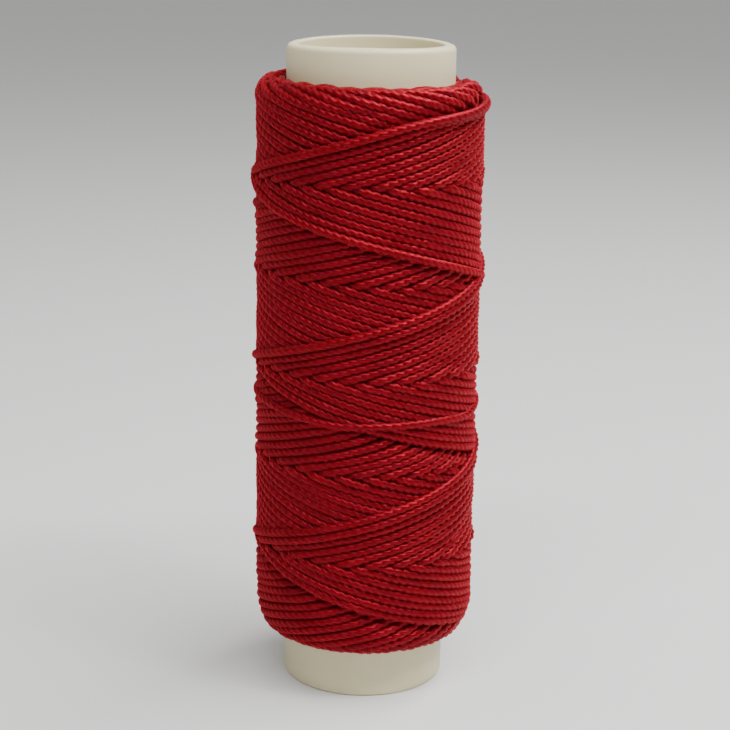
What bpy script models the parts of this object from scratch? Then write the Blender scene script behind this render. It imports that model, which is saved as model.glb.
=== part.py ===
"""Spool of leatherworking thread: a plain open tube with the thread cross-wound on it.

The spool stands on one end of its tube, with its axis along +Z through the origin. The wound
thread is a turned ring of the winding's outer shape, and the last loose turn is a curve that
lies round it. The front of the spool faces -Y. Run with: blender --background --python part.py
"""

import math

import bpy

# Driving dimensions, in metres
THREAD_DIAMETER = 0.0010
TUBE_LENGTH = 0.0830
TUBE_DIAMETER = 0.0210
TUBE_WALL = 0.0015
RIM_ROUNDING = 0.00035
WINDING_BOTTOM = 0.0060
WINDING_TOP = 0.0787
WINDING_RADIUS_AT_BOTTOM = 0.0142
WINDING_RADIUS_AT_TOP = 0.0145
BOTTOM_SHOULDER_HEIGHT = 0.0060
TOP_SHOULDER_HEIGHT = 0.0034
CLEARANCE = 0.0003  # between solids that rest on one another

# Fineness of the turned and swept shapes
TURNED_STEPS = 96
SHOULDER_POINTS = 7
RIM_POINTS = 4
SAMPLES_PER_SPAN = 3

# The last turn of thread, as (degrees round the axis from the front towards +X, height)
LAST_TURN_ROUTE = [
    (-105, 0.0386),
    (-80, 0.0387),
    (-57, 0.03855),
    (-46, 0.0382),
    (-33, 0.03795),
    (-16, 0.0375),
    (5, 0.03755),
    (24, 0.03755),
    (42, 0.0374),
    (60, 0.0370),
    (75, 0.0372),
    (95, 0.0376),
    (130, 0.0379),
    (170, 0.0384),
    (196, 0.0383),
    (210, 0.0391),
    (219, 0.0411),
    (225, 0.0437),
    (230, 0.0462),
]

TUBE_RADIUS = TUBE_DIAMETER / 2
BORE_RADIUS = TUBE_RADIUS - TUBE_WALL
WINDING_INNER_RADIUS = TUBE_RADIUS + CLEARANCE


def clear_scene():
    """Remove every object that is already in the scene."""
    for obj in list(bpy.data.objects):
        bpy.data.objects.remove(obj, do_unlink=True)


def make_material(name, colour, roughness):
    """Make a non-metallic material of one colour."""
    material = bpy.data.materials.new(name)
    material.use_nodes = True
    shader = material.node_tree.nodes["Principled BSDF"]
    shader.inputs["Base Color"].default_value = (*colour, 1.0)
    shader.inputs["Roughness"].default_value = roughness
    shader.inputs["Metallic"].default_value = 0.0
    return material


def rounded_corner(centre_radius, centre_height, start_degrees):
    """Points of a quarter circle that turns clockwise in the (radius, height) plane."""
    points = []
    for i in range(RIM_POINTS):
        angle = math.radians(start_degrees - 90 * i / (RIM_POINTS - 1))
        radius = centre_radius + RIM_ROUNDING * math.cos(angle)
        height = centre_height + RIM_ROUNDING * math.sin(angle)
        points.append((radius, height))
    return points


def tube_profile():
    """The tube's wall in section: down the outside, then up the bore, with rounded rims."""
    outer = TUBE_RADIUS - RIM_ROUNDING
    inner = BORE_RADIUS + RIM_ROUNDING
    low = RIM_ROUNDING
    high = TUBE_LENGTH - RIM_ROUNDING
    profile = rounded_corner(outer, high, 90)
    profile += rounded_corner(outer, low, 0)
    profile += rounded_corner(inner, low, -90)
    profile += rounded_corner(inner, high, -180)
    return profile


def shoulder(outer_radius, height):
    """Points of an elliptical shoulder as (radius, distance from its full-width end), widest first."""
    depth = outer_radius - WINDING_INNER_RADIUS
    points = []
    for i in range(SHOULDER_POINTS):
        angle = math.radians(90 * i / (SHOULDER_POINTS - 1))
        points.append((WINDING_INNER_RADIUS + depth * math.cos(angle), height * math.sin(angle)))
    return points


def winding_profile():
    """The wound thread in section: down its outside over both shoulders to the tube."""
    top = shoulder(WINDING_RADIUS_AT_TOP, TOP_SHOULDER_HEIGHT)
    bottom = shoulder(WINDING_RADIUS_AT_BOTTOM, BOTTOM_SHOULDER_HEIGHT)
    top_start = WINDING_TOP - TOP_SHOULDER_HEIGHT
    bottom_start = WINDING_BOTTOM + BOTTOM_SHOULDER_HEIGHT
    profile = [(radius, top_start + rise) for radius, rise in reversed(top)]
    profile += [(radius, bottom_start - drop) for radius, drop in bottom]
    return profile


def turned_part(name, profile, material, collection):
    """Turn a closed (radius, height) profile round the Z axis."""
    mesh = bpy.data.meshes.new(name)
    points = [(radius, 0.0, height) for radius, height in profile]
    edges = [(i, (i + 1) % len(points)) for i in range(len(points))]
    mesh.from_pydata(points, edges, [])
    obj = bpy.data.objects.new(name, mesh)
    mesh.materials.append(material)
    collection.objects.link(obj)
    screw = obj.modifiers.new("turned", "SCREW")
    screw.axis = "Z"
    screw.angle = math.radians(360)
    screw.steps = TURNED_STEPS
    screw.render_steps = TURNED_STEPS
    screw.use_merge_vertices = True
    screw.merge_threshold = 0.00001
    screw.use_smooth_shade = True
    return obj


def winding_radius(height):
    """Outer radius of the straight part of the winding, which tapers a little downwards."""
    low = WINDING_BOTTOM + BOTTOM_SHOULDER_HEIGHT
    high = WINDING_TOP - TOP_SHOULDER_HEIGHT
    share = (height - low) / (high - low)
    return WINDING_RADIUS_AT_BOTTOM + share * (WINDING_RADIUS_AT_TOP - WINDING_RADIUS_AT_BOTTOM)


def between(before, start, end, after, share):
    """Catmull-Rom value at a share of the way from start to end."""
    straight = 2 * start + (end - before) * share
    bend = (2 * before - 5 * start + 4 * end - after) * share**2
    twist = (3 * start - before - 3 * end + after) * share**3
    return (straight + bend + twist) / 2


def smooth_route(route):
    """The (degrees, height) points of a smooth curve through a route's own points."""
    points = []
    last = len(route) - 1
    for i in range(last):
        span = [route[max(i - 1, 0)], route[i], route[i + 1], route[min(i + 2, last)]]
        for step in range(SAMPLES_PER_SPAN):
            share = step / SAMPLES_PER_SPAN
            degrees = between(*[point[0] for point in span], share)
            height = between(*[point[1] for point in span], share)
            points.append((degrees, height))
    points.append(route[last])
    return points


def thread_curve(name, route, material, collection):
    """A thread of round section that lies on the winding along a route."""
    curve = bpy.data.curves.new(name, "CURVE")
    curve.dimensions = "3D"
    curve.bevel_depth = THREAD_DIAMETER / 2
    curve.bevel_resolution = 2
    curve.use_fill_caps = True
    places = smooth_route(route)
    spline = curve.splines.new("POLY")
    spline.points.add(len(places) - 1)
    for point, (degrees, height) in zip(spline.points, places):
        angle = math.radians(degrees)
        radius = winding_radius(height) + CLEARANCE + THREAD_DIAMETER / 2
        point.co = (radius * math.sin(angle), -radius * math.cos(angle), height, 1.0)
    curve.materials.append(material)
    obj = bpy.data.objects.new(name, curve)
    collection.objects.link(obj)
    return obj


def main():
    clear_scene()
    spool = bpy.data.collections.new("waxed_thread_spool")
    bpy.context.scene.collection.children.link(spool)
    plastic = make_material("tube_plastic", (0.56, 0.53, 0.44), 0.45)
    thread = make_material("red_thread", (0.30, 0.008, 0.016), 0.5)
    turned_part("core_tube", tube_profile(), plastic, spool)
    turned_part("thread_winding", winding_profile(), thread, spool)
    thread_curve("thread_last_turn", LAST_TURN_ROUTE, thread, spool)


main()
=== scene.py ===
"""Looks of the waxed thread spool.

The thread is laid on the tube turn by turn, as the winding machine lays it, so that every strand
rests on the strands below it. Its twisted plies are then swept along that path.
"""

import math

import bpy
import numpy as np
from mathutils import Matrix, Vector


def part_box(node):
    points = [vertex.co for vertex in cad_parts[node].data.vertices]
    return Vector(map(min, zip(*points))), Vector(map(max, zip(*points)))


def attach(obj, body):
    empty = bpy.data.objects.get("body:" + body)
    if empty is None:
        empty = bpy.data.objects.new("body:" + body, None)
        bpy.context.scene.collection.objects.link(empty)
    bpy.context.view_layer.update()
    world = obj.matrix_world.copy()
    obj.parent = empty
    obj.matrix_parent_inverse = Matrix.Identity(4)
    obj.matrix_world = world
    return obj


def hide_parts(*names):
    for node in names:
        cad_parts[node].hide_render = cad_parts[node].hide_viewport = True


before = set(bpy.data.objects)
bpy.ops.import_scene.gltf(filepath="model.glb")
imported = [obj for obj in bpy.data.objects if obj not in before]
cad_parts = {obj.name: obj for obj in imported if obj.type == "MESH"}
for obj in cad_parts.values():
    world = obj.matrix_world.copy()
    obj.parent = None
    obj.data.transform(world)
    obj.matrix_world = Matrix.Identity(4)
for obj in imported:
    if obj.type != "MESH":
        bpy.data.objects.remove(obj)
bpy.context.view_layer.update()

# ---------------------------------------------------------------- sizes, in metres and radians
MM = 0.001
DEGREE = math.radians(1)
TURN = 2 * math.pi

THREAD_DIAMETER = 1.0 * MM
CONTACT_RADIUS = 0.49 * MM  # of a strand pressed on the strands below it
SQUASH = 0.15 * MM  # by which a strand gives way where it meets another at its side
GIVE = 0.35  # share of a strand's rise over the even layers that is left once it is pulled tight
TAPER = 0.02  # the winding is a little thicker at the top
TUBE_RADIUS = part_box("core_tube")[1][0]
TUBE_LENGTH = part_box("core_tube")[1][2]
TUBE_WALL = 1.5 * MM

# The winding: the thread runs up and down the tube, and each trip lies beside the one before
PITCH = 23.6 * MM  # rise in one turn
STRANDS_PER_PITCH = 23.0
TRIPS = 47  # a trip is one run up and one run down
TURNS_PER_RUN = 3
TOP_LINE = 78.35 * MM  # where the straight runs up and down would meet
LAST_TOP_ANGLE = 82 * DEGREE  # of the last turn-round at the top, from the front towards +X
STRAND_STEP = PITCH / STRANDS_PER_PITCH
STROKE = TURNS_PER_RUN * PITCH - STRAND_STEP / 2
BOTTOM_LINE = TOP_LINE - STROKE
RUN_ANGLE = TURN * STROKE / PITCH
SLOPE = PITCH / TURN
TURN_ROUND_ANGLE = 9 * DEGREE  # half the arc in which the thread turns round
DOWN_SWAY = 0.37 * MM  # the runs down are a little steeper on the front than on the back
UP_SWAY = -0.20 * MM  # the runs up are a little less steep there, but for the last ones
SWAY_FADE = TURN / 4  # a run has no sway where it turns round
LAST_RUNS_UP = 10  # these grow as steep on the front as the runs down
TOP_RISE = 0.40  # mm, of the turn-rounds at the top over the line
TOP_RISE_SIDES = 0.05  # mm, more than that at the sides, and less on the front and back
TOP_RISE_LEFT = 0.25  # mm, more than that on the left, and less on the right
TOP_RISE_FADE = 3  # the rise is lost over one part in this many, the last ones
BOTTOM_FALL = 0.5 * MM  # of the turn-rounds at the bottom below the line
EARLY_FALL = 1.1 * MM  # more than that for the early ones
EARLY_FALL_FADE = 1.4  # it is lost over one part in this many, the last ones
# How far the last turn-rounds at the top have slipped down, and the angle to each side that goes
# down with them
LAST_TOPS_DROP = [0.5 * MM, 1.0 * MM, 1.5 * MM, 1.8 * MM, 2.1 * MM]
DROP_ANGLE = 72 * DEGREE
DRIFT = 0.025 * MM  # of a run from its even path, in each of its waves
DRIFT_WAVES = 8
DRIFT_RATES = (0.3, 3.0)  # waves in a turn
DRIFT_PER_TRIP = 0.7  # radians by which a wave moves on at most from one trip to the next
DRIFT_FADE = 25 * DEGREE  # a run has no drift where it turns round
TURN_ROUND_SPREAD = 0.06 * MM  # of their heights, as a standard deviation

# The winding's outline, at the thread's centre
FULL_RADIUS = 14.25 * MM
PRESSED = 0.12  # share of a strand's rise over the outline that is left
WINDING_LOW = 6.4 * MM
LOW_SHOULDER = 7.3 * MM
LOW_EDGE_RADIUS = 11.0 * MM
WINDING_HIGH = 78.7 * MM
HIGH_SHOULDER = 3.6 * MM
HIGH_EDGE_RADIUS = 11.2 * MM

# The last run down leaves the others behind the spool, goes once round it level, and its end is
# tucked up behind the thread. Points are (degrees from the front towards +X, height in mm).
DESCENT = [(120, 52.3), (150, 49.6), (180, 46.5), (210, 43.2), (235, 40.4)]
LAST_TURN = [
    (-105, 38.6),
    (-80, 38.7),
    (-57, 38.55),
    (-46, 38.2),
    (-33, 37.95),
    (-16, 37.5),
    (5, 37.55),
    (24, 37.55),
    (42, 37.4),
    (60, 37.0),
    (75, 37.2),
    (95, 37.6),
    (130, 37.9),
    (170, 38.4),
    (196, 38.3),
    (210, 39.1),
    (219, 41.1),
    (225, 43.7),
    (230, 46.2),
]
SUNK = 0.2 * MM  # by which the last turn, all the way to its end, sinks into what is under it
SUNK_FROM, SUNK_OVER = 215, 40  # degrees; where it starts to sink, and the way that takes
TUCK_FROM = 196  # degrees; from here the end lies under the descent

STIFFNESS = 6  # samples over which the thread bends
FINAL_STIFFNESS = 3  # samples, for the whole thread once it is laid
LEAD = 40  # samples that a stretch shares with the one before it
STRETCH_PAST_END = 20 * DEGREE  # a stretch ends this far past a turn-round

# The height field that the thread is laid on
COLUMNS = 720
ROW = 0.1 * MM
COLUMN_ANGLE = TURN / COLUMNS

# The thread's plies
PLIES = 3
LAY_LENGTH = 3.3 * MM  # along the thread, for one turn of the plies
LAY_WAVES = [(0.06, 9.0 * MM), (0.04, 3.1 * MM)]  # shares by which the lay varies, and how fast
PLY_SIDES = 4
FINE_SIDES = PLIES * PLY_SIDES
COARSE_SIDES = FINE_SIDES // 2
PLY_SECTION = [0.535, 0.495, 0.400, 0.495]  # crest, flank, groove, flank, in diameters
COARSE_SECTION = 0.48
WIDTH, THICKNESS = 1.14, 1.05  # the thread is pressed a little flat
BLOCK = 12  # samples to a coarse ring
FINE_STEP = 3  # samples to a fine ring
BURIED = 0.3 * MM  # the thread is coarse where this much lies over it
SECTIONS = 5  # pieces that the thread is cut into, each small enough for the export

# The tube's rims
OUTER_RIM_ROUNDING = 0.7 * MM  # of the upper one
RIM_ROUNDING = 0.3 * MM  # of the others
WALL_SPAN = TUBE_LENGTH - 1.2 * MM  # of the rings along the wall, clear of the roundings
RIM_WAVE = 0.03 * MM
RIM_DIP = 0.12 * MM  # half of how much lower the upper rim's sides are than its front and back

rng = np.random.default_rng(7)


# ---------------------------------------------------------------- camera
def make_camera():
    """A long lens, a little above the spool and looking down on it, rolled by under a degree."""
    distance, height = 227.7 * MM, 102.6 * MM
    pitch, yaw, roll = 14.99 * DEGREE, -0.055 * DEGREE, 0.855 * DEGREE
    ahead = Vector((math.sin(yaw), math.cos(yaw), 0))
    forward = ahead * math.cos(pitch) - Vector((0, 0, math.sin(pitch)))
    level = Vector((math.cos(yaw), -math.sin(yaw), 0))
    upright = level.cross(forward)
    right = level * math.cos(roll) + upright * math.sin(roll)
    up = upright * math.cos(roll) - level * math.sin(roll)
    data = bpy.data.cameras.new("camera")
    data.lens = 89.92
    data.sensor_width = 36
    data.clip_start = 0.01
    camera = bpy.data.objects.new("camera", data)
    axes = Matrix((right, up, -forward)).transposed().to_4x4()
    camera.matrix_world = Matrix.Translation((0, -distance, height)) @ axes
    bpy.context.scene.collection.objects.link(camera)
    bpy.context.scene.camera = camera


# ---------------------------------------------------------------- the thread's path
def smooth_step(x):
    x = np.clip(x, 0, 1)
    return x * x * (3 - 2 * x)


def turn_round_heights(first_angle):
    """Where the straight runs meet: at the bottom for even numbers and at the top for odd ones."""
    number = np.arange(2 * TRIPS + 2)
    place = first_angle + number * RUN_ANGLE
    left = 1 - number / (2 * TRIPS)
    rise = (TOP_RISE - TOP_RISE_SIDES * np.cos(2 * place) - TOP_RISE_LEFT * np.sin(place)) * MM
    at_top = TOP_LINE + rise * smooth_step(TOP_RISE_FADE * left)
    at_bottom = BOTTOM_LINE - BOTTOM_FALL - EARLY_FALL * np.minimum(EARLY_FALL_FADE * left, 1)
    spread = rng.normal(0, TURN_ROUND_SPREAD, len(number))
    return np.where(number % 2 == 1, at_top, at_bottom) + spread


def run_heights(angle, first_angle):
    """Height of the thread at each angle of its way up and down, with its turn-rounds."""
    along = (angle - first_angle) / RUN_ANGLE
    run = np.floor(along).astype(int)
    going_up = run % 2 == 0
    nearest = np.rint(along).astype(int)
    away = np.abs(along - nearest) * RUN_ANGLE
    ends = turn_round_heights(first_angle)
    height = ends[run] + (ends[run + 1] - ends[run]) * (along - run)
    rounding = SLOPE * (np.hypot(away, TURN_ROUND_ANGLE) - away)
    height += np.where(nearest % 2 == 1, -rounding, rounding)

    clear = smooth_step(away / SWAY_FADE)
    trip = run // 2
    newest = smooth_step((trip - (TRIPS - LAST_RUNS_UP)) / (LAST_RUNS_UP - 1))
    up_sway = UP_SWAY + (DOWN_SWAY - UP_SWAY) * newest
    height += np.where(going_up, up_sway, -DOWN_SWAY) * np.sin(angle) * clear
    for before_last, drop in enumerate(reversed(LAST_TOPS_DROP)):
        here = nearest == 2 * (TRIPS - before_last) - 1
        height -= here * drop * (1 - smooth_step(away / DROP_ANGLE))

    turns = (along - run) * RUN_ANGLE / TURN
    drift = np.zeros_like(height)
    for up in (True, False):
        here = going_up == up
        for _ in range(DRIFT_WAVES):
            rate = rng.uniform(*DRIFT_RATES)
            per_trip = rng.uniform(-DRIFT_PER_TRIP, DRIFT_PER_TRIP)
            shift = rng.uniform(0, TURN)
            drift += here * np.sin(rate * turns * TURN + per_trip * trip + shift)
    height += DRIFT * drift * smooth_step(away / DRIFT_FADE)
    return height


def between(before, start, end, after, share):
    """Catmull-Rom value at a share of the way from start to end."""
    straight = 2 * start + (end - before) * share
    bend = (2 * before - 5 * start + 4 * end - after) * share**2
    twist = (3 * start - before - 3 * end + after) * share**3
    return (straight + bend + twist) / 2


def smooth_route(route, samples_per_span=40):
    """Angles and heights of a smooth curve through a route's own points."""
    shares = np.arange(samples_per_span) / samples_per_span
    last = len(route) - 1
    points = []
    for i in range(last):
        span = [route[max(i - 1, 0)], route[i], route[i + 1], route[min(i + 2, last)]]
        degrees = between(*[point[0] for point in span], shares)
        heights = between(*[point[1] for point in span], shares)
        points += list(zip(degrees, heights))
    points.append(route[last])
    points = np.array(points, float)
    return points[:, 0] * DEGREE, points[:, 1] * MM


# ---------------------------------------------------------------- laying the thread on the tube
def shoulder_radius(height):
    """Radius that the thread's centre keeps within, which falls away at both ends."""
    full = FULL_RADIUS * (1 + TAPER * (height / TUBE_LENGTH - 0.5))
    low = np.clip((height - WINDING_LOW) / LOW_SHOULDER, 0, 1)
    high = np.clip((WINDING_HIGH - height) / HIGH_SHOULDER, 0, 1)
    low_radius = LOW_EDGE_RADIUS + (full - LOW_EDGE_RADIUS) * np.sqrt(1 - (1 - low) ** 2)
    high_radius = HIGH_EDGE_RADIUS + (full - HIGH_EDGE_RADIUS) * np.sqrt(1 - (1 - high) ** 2)
    return np.minimum(low_radius, high_radius)


class Winding:
    """The outer surface of what is wound so far, as a radius for each column and row."""

    def __init__(self):
        rows = int(TUBE_LENGTH / ROW) + 2
        self.surface = np.full((COLUMNS, rows), TUBE_RADIUS)
        self.layers = np.zeros((COLUMNS, rows))
        half = CONTACT_RADIUS / math.cos(math.atan(SLOPE / TUBE_RADIUS))
        self.reach = int(half / ROW) + 1
        self.lean = CONTACT_RADIUS / half

    def footprint(self, angle, height):
        """Columns, rows and thread section under each sample, over the thread's width."""
        column = np.rint(angle / COLUMN_ANGLE).astype(int) % COLUMNS
        nearest = np.rint(height / ROW).astype(int)
        for offset in range(-self.reach, self.reach + 1):
            row = nearest + offset
            across = (row * ROW - height) * self.lean
            inside = np.abs(across) < CONTACT_RADIUS
            rise = np.sqrt(np.maximum(CONTACT_RADIUS**2 - across**2, 0))
            yield column, row, inside, rise

    def support(self, angle, height):
        """Radius at which the thread's centre rests on what is below it, and not beside it."""
        best = np.zeros_like(height)
        layers = np.zeros_like(height)
        widths = np.zeros_like(height)
        for column, row, _, rise in self.footprint(angle, height):
            below = rise > CONTACT_RADIUS - SQUASH
            touching = self.surface[column, row] + rise
            best = np.maximum(best, np.where(below, touching, 0))
            layers += np.where(below, self.layers[column, row], 0)
            widths += below
        even = TUBE_RADIUS + CONTACT_RADIUS * (1 + 2 * layers / widths)
        rest = np.where(best > even, even + GIVE * (best - even), best)
        limit = shoulder_radius(height)
        return np.where(rest > limit, limit + PRESSED * (rest - limit), rest)

    def lay(self, angle, height, radius):
        """Add a length of thread to the surface."""
        for column, row, inside, rise in self.footprint(angle, height):
            c, r = column[inside], row[inside]
            np.maximum.at(self.surface, (c, r), (radius + rise)[inside])
        column = np.rint(angle / COLUMN_ANGLE).astype(int) % COLUMNS
        nearest = np.rint(height / ROW).astype(int)
        for offset in range(-self.reach - 1, self.reach + 2):
            row = nearest + offset
            covered = np.clip(0.5 + (STRAND_STEP / 2 - np.abs(row * ROW - height)) / ROW, 0, 1)
            np.add.at(self.layers, (column, row), covered)

    def hidden(self, angle, height, radius):
        """How far the wound surface stands over the thread's own, at its most open place."""
        least = np.full_like(height, np.inf)
        column = np.rint(angle / COLUMN_ANGLE).astype(int) % COLUMNS
        for share in (-0.7, 0, 0.7):
            row = np.rint((height + share * CONTACT_RADIUS) / ROW).astype(int)
            own = radius + CONTACT_RADIUS * math.sqrt(1 - share**2)
            least = np.minimum(least, self.surface[column, row] - own)
        return least


def smoothed(values, width):
    """A running mean with a bell-shaped weight, width samples wide."""
    steps = np.arange(-3 * width, 3 * width + 1)
    weight = np.exp(-0.5 * (steps / width) ** 2)
    padded = np.pad(values, 3 * width, mode="edge")
    return np.convolve(padded, weight / weight.sum(), mode="valid")


def lay_stretch(winding, angle, height, before=(), sunk=0):
    """Lay one stretch that doesn't cross itself, and return its radius at each sample."""
    support = winding.support(angle, height) - sunk
    lead = len(before)
    support[:lead] = before
    radius = smoothed(support, STIFFNESS)
    winding.lay(angle[lead:], height[lead:], radius[lead:])
    return radius[lead:]


def wind_thread():
    """Angle, height and radius of the thread's centre along its whole length, and the winding."""
    winding = Winding()
    last_top = LAST_TOP_ANGLE + 2 * TRIPS * TURNS_PER_RUN * TURN
    first_angle = last_top - (2 * TRIPS - 1) * RUN_ANGLE
    first = math.ceil(first_angle / COLUMN_ANGLE)
    leaves_at = last_top - LAST_TOP_ANGLE + TURN + DESCENT[0][0] * DEGREE
    angle = np.arange(first, round(leaves_at / COLUMN_ANGLE)) * COLUMN_ANGLE
    height = run_heights(angle, first_angle)

    radius = []
    cut = [first_angle + run * RUN_ANGLE + STRETCH_PAST_END for run in range(1, 2 * TRIPS)]
    edges = [0, *np.searchsorted(angle, cut), len(angle)]
    for start, end in zip(edges[:-1], edges[1:]):
        before = np.array(radius[-LEAD:])
        part = slice(start - len(before), end)
        radius += list(lay_stretch(winding, angle[part], height[part], before))

    turn = last_top - LAST_TOP_ANGLE + TURN
    route = DESCENT + [(degrees + 360, z) for degrees, z in LAST_TURN]
    route_angle, route_height = smooth_route(route)
    tail_angle = np.arange(len(angle) + first, (route_angle[-1] + turn) / COLUMN_ANGLE) * COLUMN_ANGLE
    tail_height = np.interp(tail_angle - turn, route_angle, route_height)
    tuck = np.searchsorted(tail_angle - turn, (TUCK_FROM + 360) * DEGREE)
    sunk = SUNK * smooth_step((tail_angle - turn - SUNK_FROM * DEGREE) / (SUNK_OVER * DEGREE))
    tip_radius = lay_stretch(winding, tail_angle[tuck:], tail_height[tuck:], sunk=sunk[tuck:])
    before = np.array(radius[-LEAD:])
    joined_angle = np.concatenate([angle[-LEAD:], tail_angle[:tuck]])
    joined_height = np.concatenate([height[-LEAD:], tail_height[:tuck]])
    joined_sunk = np.concatenate([np.zeros(LEAD), sunk[:tuck]])
    tail_radius = lay_stretch(winding, joined_angle, joined_height, before, joined_sunk)

    angle = np.concatenate([angle, tail_angle])
    height = np.concatenate([height, tail_height])
    radius = np.concatenate([radius, tail_radius, tip_radius])
    radius = smoothed(radius, FINAL_STIFFNESS)
    return angle, height, radius, winding


# ---------------------------------------------------------------- sweeping the plies
def fine_places(angle, height, radius, winding):
    """The samples that get a ring, and whether each ring is fine or, where hidden, coarse."""
    blocks = len(angle) // BLOCK
    hidden = winding.hidden(angle, height, radius)[: blocks * BLOCK].reshape(blocks, BLOCK)
    shows = hidden.min(axis=1) < BURIED
    spread = shows.copy()
    spread[1:] |= shows[:-1]
    spread[:-1] |= shows[1:]
    places, fine = [], []
    for block, shown in enumerate(spread):
        for offset in range(0, BLOCK, FINE_STEP if shown else BLOCK):
            places.append(block * BLOCK + offset)
            fine.append(shown)
    return np.array(places), np.array(fine)


def sweep_frames(centre):
    """Directions out from the spool and across the thread, both square to it, at each ring."""
    along = np.gradient(centre, axis=0)
    along /= np.linalg.norm(along, axis=1)[:, None]
    out = centre * [1, 1, 0]
    out -= (out * along).sum(1)[:, None] * along
    out /= np.linalg.norm(out, axis=1)[:, None]
    return out, np.cross(along, out)


def stitch(first, second, first_sides, second_sides):
    """Quads or triangles between two kinds of ring, for many pairs of rings at once."""
    sides = min(first_sides, second_sides)
    faces = []
    many, few = (first, second) if first_sides > second_sides else (second, first)
    for i in range(sides):
        n = (i + 1) % sides
        if first_sides == second_sides:
            faces.append(np.stack([first + i, first + n, second + n, second + i], axis=1))
            continue
        a, b, c = many + 2 * i, many + 2 * i + 1, many + (2 * i + 2) % (2 * sides)
        triangles = [(few + i, b, a), (few + i, few + n, b), (few + n, c, b)]
        for triangle in triangles:
            order = triangle if many is first else triangle[::-1]
            faces.append(np.stack(order, axis=1))
    return faces


def thread_mesh(name, centre, frames, fine, twist, along):
    """A closed tube of twisted plies through the ring centres."""
    sides = np.where(fine, FINE_SIDES, COARSE_SIDES)
    starts = np.concatenate([[0], np.cumsum(sides)])
    ring = np.repeat(np.arange(len(centre)), sides)
    corner = np.arange(starts[-1]) - starts[ring]
    turn = corner * TURN / sides[ring]
    section = np.array(PLY_SECTION)[corner % PLY_SIDES]
    size = np.where(fine[ring], section, COARSE_SECTION) * THREAD_DIAMETER
    way = twist[ring] + turn
    out, across = frames
    points = centre[ring] + (size * THICKNESS * np.cos(way))[:, None] * out[ring]
    points += (size * WIDTH * np.sin(way))[:, None] * across[ring]

    quads, triangles = [], []
    for a, b in ((True, True), (False, False), (True, False), (False, True)):
        pair = np.flatnonzero((fine[:-1] == a) & (fine[1:] == b))
        kinds = [FINE_SIDES if a else COARSE_SIDES, FINE_SIDES if b else COARSE_SIDES]
        made = stitch(starts[pair], starts[pair + 1], *kinds)
        (quads if a == b else triangles).extend(made)
    faces = [face for block in quads for face in block.tolist()]
    faces += [face for block in triangles for face in block.tolist()]
    faces.append(list(range(sides[0]))[::-1])
    faces.append([int(starts[-2]) + i for i in range(sides[-1])])

    mesh = bpy.data.meshes.new(name)
    mesh.from_pydata(points.tolist(), [], faces)
    mesh.shade_smooth()
    length = mesh.attributes.new("along_thread", "FLOAT", "POINT")
    length.data.foreach_set("value", along[ring].astype(np.float32))
    round_thread = mesh.attributes.new("round_thread", "FLOAT_VECTOR", "POINT")
    spot = np.stack([np.cos(way), np.sin(way), np.zeros_like(way)], axis=1).astype(np.float32)
    round_thread.data.foreach_set("vector", spot.ravel())
    crest = mesh.attributes.new("crest", "FLOAT", "POINT")
    crest_value = (size / THREAD_DIAMETER - min(PLY_SECTION)) / (max(PLY_SECTION) - min(PLY_SECTION))
    crest.data.foreach_set("value", crest_value.astype(np.float32))
    return mesh


def make_thread(material):
    """The whole thread, as a chain of lengths that follow one another end to end."""
    angle, height, radius, winding = wind_thread()
    places, fine = fine_places(angle, height, radius, winding)
    angle, height, radius = angle[places], height[places], radius[places]
    centre = np.stack([radius * np.sin(angle), -radius * np.cos(angle), height], axis=1)
    steps = np.linalg.norm(np.diff(centre, axis=0), axis=1)
    along = np.concatenate([[0], np.cumsum(steps)])
    lay = np.full_like(along, LAY_LENGTH)
    for shift, (share, span) in enumerate(LAY_WAVES):
        lay += LAY_LENGTH * share * np.sin(along / span + shift)
    turning = np.where(fine[:-1] & fine[1:], steps / lay[:-1] * TURN, 0)
    twist = np.concatenate([[0], np.cumsum(turning)])
    frames = sweep_frames(centre)

    weight = np.cumsum(np.where(fine, FINE_SIDES, COARSE_SIDES))
    edges = np.searchsorted(weight, weight[-1] * np.arange(1, SECTIONS) / SECTIONS)
    edges = [0, *edges, len(centre) - 1]
    total = 0.0
    for number, (start, end) in enumerate(zip(edges[:-1], edges[1:]), 1):
        part = slice(start, end + 1)
        name = f"thread_length_{number}"
        here = [values[part] for values in (fine, twist, along)]
        mesh = thread_mesh(name, centre[part], [values[part] for values in frames], *here)
        mesh.materials.append(material)
        piece = bpy.data.objects.new(name, mesh)
        bpy.context.scene.collection.objects.link(piece)
        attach(piece, "root")
        if number == 1:
            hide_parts("thread_winding")
        if end == edges[-1]:
            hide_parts("thread_last_turn")
        length = float(along[end] - along[start])
        total += length
        print(name, round(length, 3), "m,", len(mesh.polygons), "faces")
    print("thread", round(total, 2), "m", len(angle), "rings", int(fine.sum()), "fine")


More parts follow.
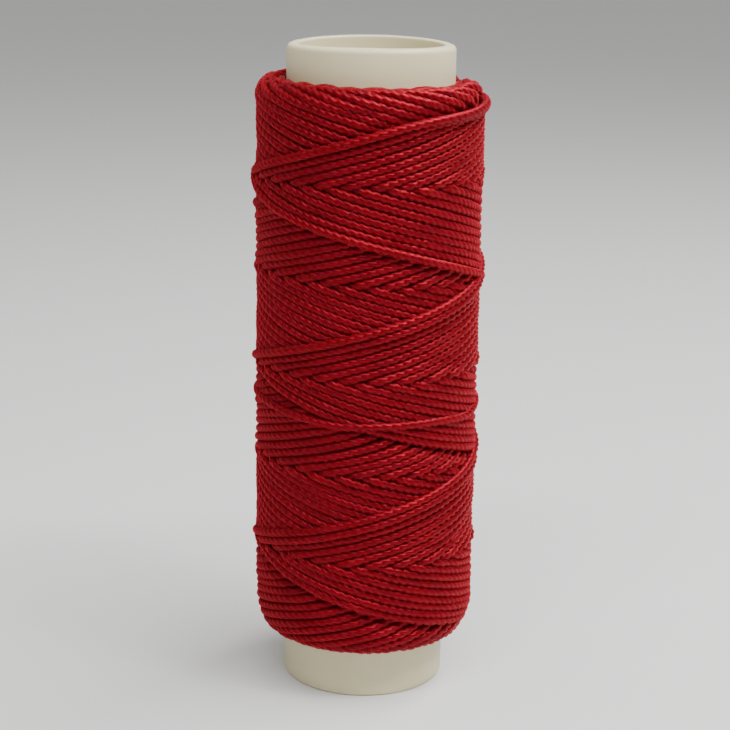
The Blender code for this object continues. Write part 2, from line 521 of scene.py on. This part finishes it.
# ---------------------------------------------------------------- the tube
def make_tube(material):
    """The tube, cut to length: its upper rim is worn round outside and isn't quite level."""
    segments = 240
    corner_steps, wall_steps = 6, 12
    outer, inner = TUBE_RADIUS, TUBE_RADIUS - TUBE_WALL
    corners = [
        (outer, TUBE_LENGTH, 90, OUTER_RIM_ROUNDING),
        (outer, 0, 0, RIM_ROUNDING),
        (inner, 0, -90, RIM_ROUNDING),
        (inner, TUBE_LENGTH, -180, RIM_ROUNDING),
    ]
    profile = []
    for radius, height, start, rounding in corners:
        centre_radius = radius + (rounding if radius == inner else -rounding)
        centre_height = height + (rounding if height == 0 else -rounding)
        for i in range(corner_steps):
            angle = (start - 90 * i / (corner_steps - 1)) * DEGREE
            out, up = rounding * math.cos(angle), rounding * math.sin(angle)
            profile.append((centre_radius + out, centre_height + up))
        if start in (90, -90):
            rise = -WALL_SPAN if start == 90 else WALL_SPAN
            wall_start = profile[-1][1]
            for step in range(1, wall_steps):
                profile.append((radius, wall_start + rise * step / wall_steps))
    angles = np.arange(segments) * TURN / segments
    waves = sum(rng.normal() * np.sin(n * angles + rng.uniform(0, TURN)) / n for n in range(3, 16))
    dip = RIM_WAVE * waves - RIM_DIP * (1 - np.cos(2 * angles))
    points = []
    for radius, height in profile:
        share = max(height / TUBE_LENGTH, 0) ** 8
        for angle, lower in zip(angles, dip):
            points.append((radius * math.sin(angle), -radius * math.cos(angle), height + lower * share))
    faces = []
    for ring in range(len(profile)):
        following = (ring + 1) % len(profile)
        for i in range(segments):
            n = (i + 1) % segments
            here, there = ring * segments, following * segments
            faces.append((here + i, there + i, there + n, here + n))
    mesh = bpy.data.meshes.new("tube")
    mesh.from_pydata(points, [], faces)
    mesh.shade_smooth()
    mesh.materials.append(material)
    piece = bpy.data.objects.new("tube", mesh)
    bpy.context.scene.collection.objects.link(piece)
    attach(piece, "root")
    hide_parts("core_tube")


# ---------------------------------------------------------------- materials
def new_material(name):
    material = bpy.data.materials.new(name)
    material.use_nodes = True
    nodes = material.node_tree.nodes
    return material, nodes, material.node_tree.links, nodes["Principled BSDF"]


def thread_material():
    """Crimson waxed thread: fibres along it, painted shade between the plies, a low sheen of wax."""
    material, nodes, links, shader = new_material("waxed_thread")
    along = nodes.new("ShaderNodeAttribute")
    along.attribute_name = "along_thread"
    spot = nodes.new("ShaderNodeAttribute")
    spot.attribute_name = "round_thread"
    crest = nodes.new("ShaderNodeAttribute")
    crest.attribute_name = "crest"

    place = nodes.new("ShaderNodeCombineXYZ")
    stretch = nodes.new("ShaderNodeMath")
    stretch.operation = "MULTIPLY"
    stretch.inputs[1].default_value = 900
    links.new(along.outputs["Fac"], stretch.inputs[0])
    links.new(stretch.outputs[0], place.inputs["X"])
    separate = nodes.new("ShaderNodeSeparateXYZ")
    links.new(spot.outputs["Vector"], separate.inputs[0])
    for source, target in (("X", "Y"), ("Y", "Z")):
        spread = nodes.new("ShaderNodeMath")
        spread.operation = "MULTIPLY"
        spread.inputs[1].default_value = 9
        links.new(separate.outputs[source], spread.inputs[0])
        links.new(spread.outputs[0], place.inputs[target])

    fibres = nodes.new("ShaderNodeTexNoise")
    fibres.inputs["Scale"].default_value = 1
    fibres.inputs["Detail"].default_value = 3
    links.new(place.outputs[0], fibres.inputs["Vector"])

    patches = nodes.new("ShaderNodeTexNoise")
    patches.noise_dimensions = "1D"
    patches.inputs["Scale"].default_value = 130
    patches.inputs["Detail"].default_value = 2
    links.new(along.outputs["Fac"], patches.inputs["W"])

    base = nodes.new("ShaderNodeMix")
    base.data_type = "RGBA"
    base.inputs["A"].default_value = (0.18, 0.003, 0.008, 1)
    base.inputs["B"].default_value = (0.29, 0.008, 0.018, 1)
    links.new(fibres.outputs["Fac"], base.inputs["Factor"])
    tone = nodes.new("ShaderNodeMix")
    tone.data_type = "RGBA"
    tone.blend_type = "MULTIPLY"
    tone.inputs["Factor"].default_value = 0.35
    links.new(base.outputs["Result"], tone.inputs["A"])
    links.new(patches.outputs["Fac"], tone.inputs["B"])
    # Painted shade: the base colour is darkened in the grooves between the plies, where shade falls.
    groove = nodes.new("ShaderNodeMix")
    groove.data_type = "RGBA"
    groove.blend_type = "MULTIPLY"
    groove.inputs["B"].default_value = (0.9, 0.6, 0.6, 1)
    groove_shade_share = nodes.new("ShaderNodeMapRange")
    groove_shade_share.inputs["From Min"].default_value = 0.75
    groove_shade_share.inputs["From Max"].default_value = 0.0
    links.new(crest.outputs["Fac"], groove_shade_share.inputs["Value"])
    links.new(groove_shade_share.outputs[0], groove.inputs["Factor"])
    links.new(tone.outputs["Result"], groove.inputs["A"])
    links.new(groove.outputs["Result"], shader.inputs["Base Color"])

    shader.inputs["Subsurface Weight"].default_value = 1.0
    shader.inputs["Subsurface Radius"].default_value = (1, 0.15, 0.15)
    shader.inputs["Subsurface Scale"].default_value = 2.2 * MM
    shader.inputs["Specular IOR Level"].default_value = 0.15
    shader.inputs["Specular Tint"].default_value = (1, 0.4, 0.45, 1)
    shader.inputs["Metallic"].default_value = 0.5
    shader.inputs["Sheen Weight"].default_value = 0.6
    shader.inputs["Sheen Roughness"].default_value = 0.4
    shader.inputs["Sheen Tint"].default_value = (0.9, 0.06, 0.08, 1)
    wax = nodes.new("ShaderNodeMapRange")
    wax.inputs["To Min"].default_value = 0.28
    wax.inputs["To Max"].default_value = 0.42
    links.new(fibres.outputs["Fac"], wax.inputs["Value"])
    links.new(wax.outputs[0], shader.inputs["Roughness"])
    bump = nodes.new("ShaderNodeBump")
    bump.inputs["Strength"].default_value = 0.35
    bump.inputs["Distance"].default_value = 0.04 * MM
    links.new(fibres.outputs["Fac"], bump.inputs["Height"])
    links.new(bump.outputs[0], shader.inputs["Normal"])
    return material


def tube_material():
    """Warm off-white plastic tube with faint drawn lines along it."""
    material, nodes, links, shader = new_material("tube_plastic")
    place = nodes.new("ShaderNodeTexCoord")
    stretch = nodes.new("ShaderNodeMapping")
    stretch.inputs["Scale"].default_value = (900, 900, 40)
    links.new(place.outputs["Object"], stretch.inputs["Vector"])
    lines = nodes.new("ShaderNodeTexNoise")
    lines.inputs["Scale"].default_value = 1
    lines.inputs["Detail"].default_value = 3
    links.new(stretch.outputs[0], lines.inputs["Vector"])
    clouds = nodes.new("ShaderNodeTexNoise")
    clouds.inputs["Scale"].default_value = 130
    clouds.inputs["Detail"].default_value = 4
    links.new(place.outputs["Object"], clouds.inputs["Vector"])
    colour = nodes.new("ShaderNodeMix")
    colour.data_type = "RGBA"
    colour.inputs["A"].default_value = (0.615, 0.55, 0.345, 1)
    colour.inputs["B"].default_value = (0.705, 0.64, 0.41, 1)
    links.new(clouds.outputs["Fac"], colour.inputs["Factor"])
    links.new(colour.outputs["Result"], shader.inputs["Base Color"])
    shine = nodes.new("ShaderNodeMapRange")
    shine.inputs["To Min"].default_value = 0.38
    shine.inputs["To Max"].default_value = 0.55
    links.new(lines.outputs["Fac"], shine.inputs["Value"])
    links.new(shine.outputs[0], shader.inputs["Roughness"])
    bump = nodes.new("ShaderNodeBump")
    bump.inputs["Strength"].default_value = 0.25
    bump.inputs["Distance"].default_value = 0.03 * MM
    links.new(lines.outputs["Fac"], bump.inputs["Height"])
    links.new(bump.outputs[0], shader.inputs["Normal"])
    return material


# ---------------------------------------------------------------- floor and light
def make_stage():
    """A pale floor, and soft light mostly from the right."""
    bpy.ops.mesh.primitive_plane_add(size=6)
    floor = bpy.context.object
    floor.name = "floor"
    material, _, _, shader = new_material("pale_floor")
    shader.inputs["Base Color"].default_value = (0.70, 0.70, 0.69, 1)
    shader.inputs["Roughness"].default_value = 0.7
    floor.data.materials.append(material)

    world = bpy.data.worlds.new("studio")
    bpy.context.scene.world = world
    world.use_nodes = True
    world.node_tree.nodes["Background"].inputs["Color"].default_value = (1, 1, 1, 1)
    world.node_tree.nodes["Background"].inputs["Strength"].default_value = 0.40

    lights = [
        ("window_light", (0.20, 0.02, 0.40), 2.35, (0.40, 0.06)),
        ("front_strip", (0.04, -0.18, 0.39), 1.6, (0.46, 0.05)),
        ("left_strip", (-0.20, 0.00, 0.43), 0.3, (0.35, 0.06)),
        ("sun", (0.35, -0.25, 0.90), 0.5, None),
    ]
    for name, place, power, size in lights:
        data = bpy.data.lights.new(name, "AREA" if size else "SUN")
        data.energy = power
        if size:
            data.shape = "RECTANGLE"
            data.size, data.size_y = size
        else:
            data.angle = 30 * DEGREE
        light = bpy.data.objects.new(name, data)
        light.location = place
        aim = Vector((0, 0, TUBE_LENGTH / 2)) - Vector(place)
        light.rotation_euler = aim.to_track_quat("-Z", "Y").to_euler()
        bpy.context.scene.collection.objects.link(light)


make_camera()
make_thread(thread_material())
make_tube(tube_material())
make_stage()
